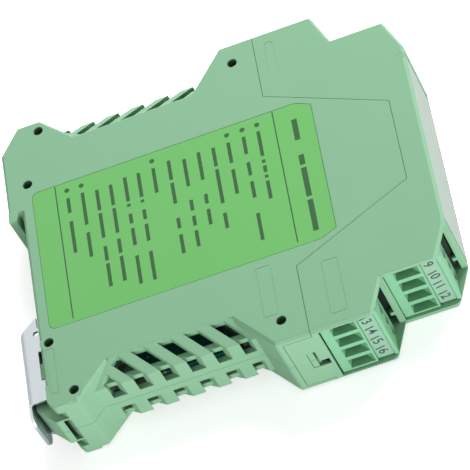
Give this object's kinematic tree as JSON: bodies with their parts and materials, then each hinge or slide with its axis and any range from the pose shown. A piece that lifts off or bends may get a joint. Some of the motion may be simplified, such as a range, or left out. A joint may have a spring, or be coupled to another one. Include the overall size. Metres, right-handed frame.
{
  "type": "signal isolator",
  "caption": "Slim rail-mounted signal isolator in a vented green housing, with pluggable screw terminals on stepped shoulders, a clear front cover and a sprung metal foot catch.",
  "frame": {"origin": "middle of the bounding box in depth and height, on the far side face that it lies on", "axes": "+X from the rail to the front face, +Y towards the upper terminal rows, +Z across the width to the labelled side"},
  "size_m": [0.115, 0.099, 0.0225],
  "materials": {
    "housing": "fine moulded texture",
    "plug": "moulded",
    "header": "moulded",
    "cover": "clear, slightly clouded",
    "front_plate": "moulded",
    "label": "printed film",
    "catch_steel": "bright zinc",
    "spring_steel": "drawn wire",
    "board": "solder mask",
    "ferrite": "ground ferrite",
    "winding": "lacquered copper wire",
    "can": "sleeved can",
    "package": "moulded",
    "lamp": "diffused",
    "contact": "tinned",
    "clamp": "nickelled",
    "screw": "zinc",
    "marker": "printed strip"
  },
  "bodies": {
    "housing": {"lower_shell_near": "housing", "lower_shell_far": "housing", "upper_housing": "housing", "front_plate": "front_plate", "side_label": "label", "foot_spring": "spring_steel", "main_board": "board", "transformer_core": "ferrite", "transformer_winding": "winding", "capacitors": "can", "optocouplers": "package", "amplifier_chips": "package", "status_led": "lamp", "header_01_04": "header", "header_pins_01_04": "contact", "header_05_08": "header", "header_pins_05_08": "contact", "header_09_12": "header", "header_pins_09_12": "contact", "header_13_16": "header", "header_pins_13_16": "contact"},
    "catch": {"foot_catch": "catch_steel"},
    "cover": {"front_cover": "cover"},
    "plug_01_04": {"plug_01_04": "plug", "clamps_01_04": "clamp", "screws_01_04": "screw", "markers_01_04": "marker"},
    "plug_05_08": {"plug_05_08": "plug", "clamps_05_08": "clamp", "screws_05_08": "screw", "markers_05_08": "marker"},
    "plug_09_12": {"plug_09_12": "plug", "clamps_09_12": "clamp", "screws_09_12": "screw", "markers_09_12": "marker"},
    "plug_13_16": {"plug_13_16": "plug", "clamps_13_16": "clamp", "screws_13_16": "screw", "markers_13_16": "marker"}
  },
  "joints": [
    {"name": "catch_slide", "type": "slide", "parent": "housing", "child": "catch", "axis": [0, -1, 0], "range_m": [0, 0.004], "stiffness_N_per_m": 600, "springref_m": -0.003, "deforming": ["foot_spring"]},
    {"name": "cover_hinge", "type": "hinge", "parent": "housing", "child": "cover", "pos_m": [0.0564, 0.0263, 0.01125], "axis": [0, 0, 1], "range_deg": [0, 95]},
    {"name": "plug_01_04_pull", "type": "slide", "parent": "housing", "child": "plug_01_04", "axis": [1, 0, 0], "range_m": [0, 0.012]},
    {"name": "plug_05_08_pull", "type": "slide", "parent": "housing", "child": "plug_05_08", "axis": [1, 0, 0], "range_m": [0, 0.012]},
    {"name": "plug_09_12_pull", "type": "slide", "parent": "housing", "child": "plug_09_12", "axis": [1, 0, 0], "range_m": [0, 0.012]},
    {"name": "plug_13_16_pull", "type": "slide", "parent": "housing", "child": "plug_13_16", "axis": [1, 0, 0], "range_m": [0, 0.012]}
  ]
}
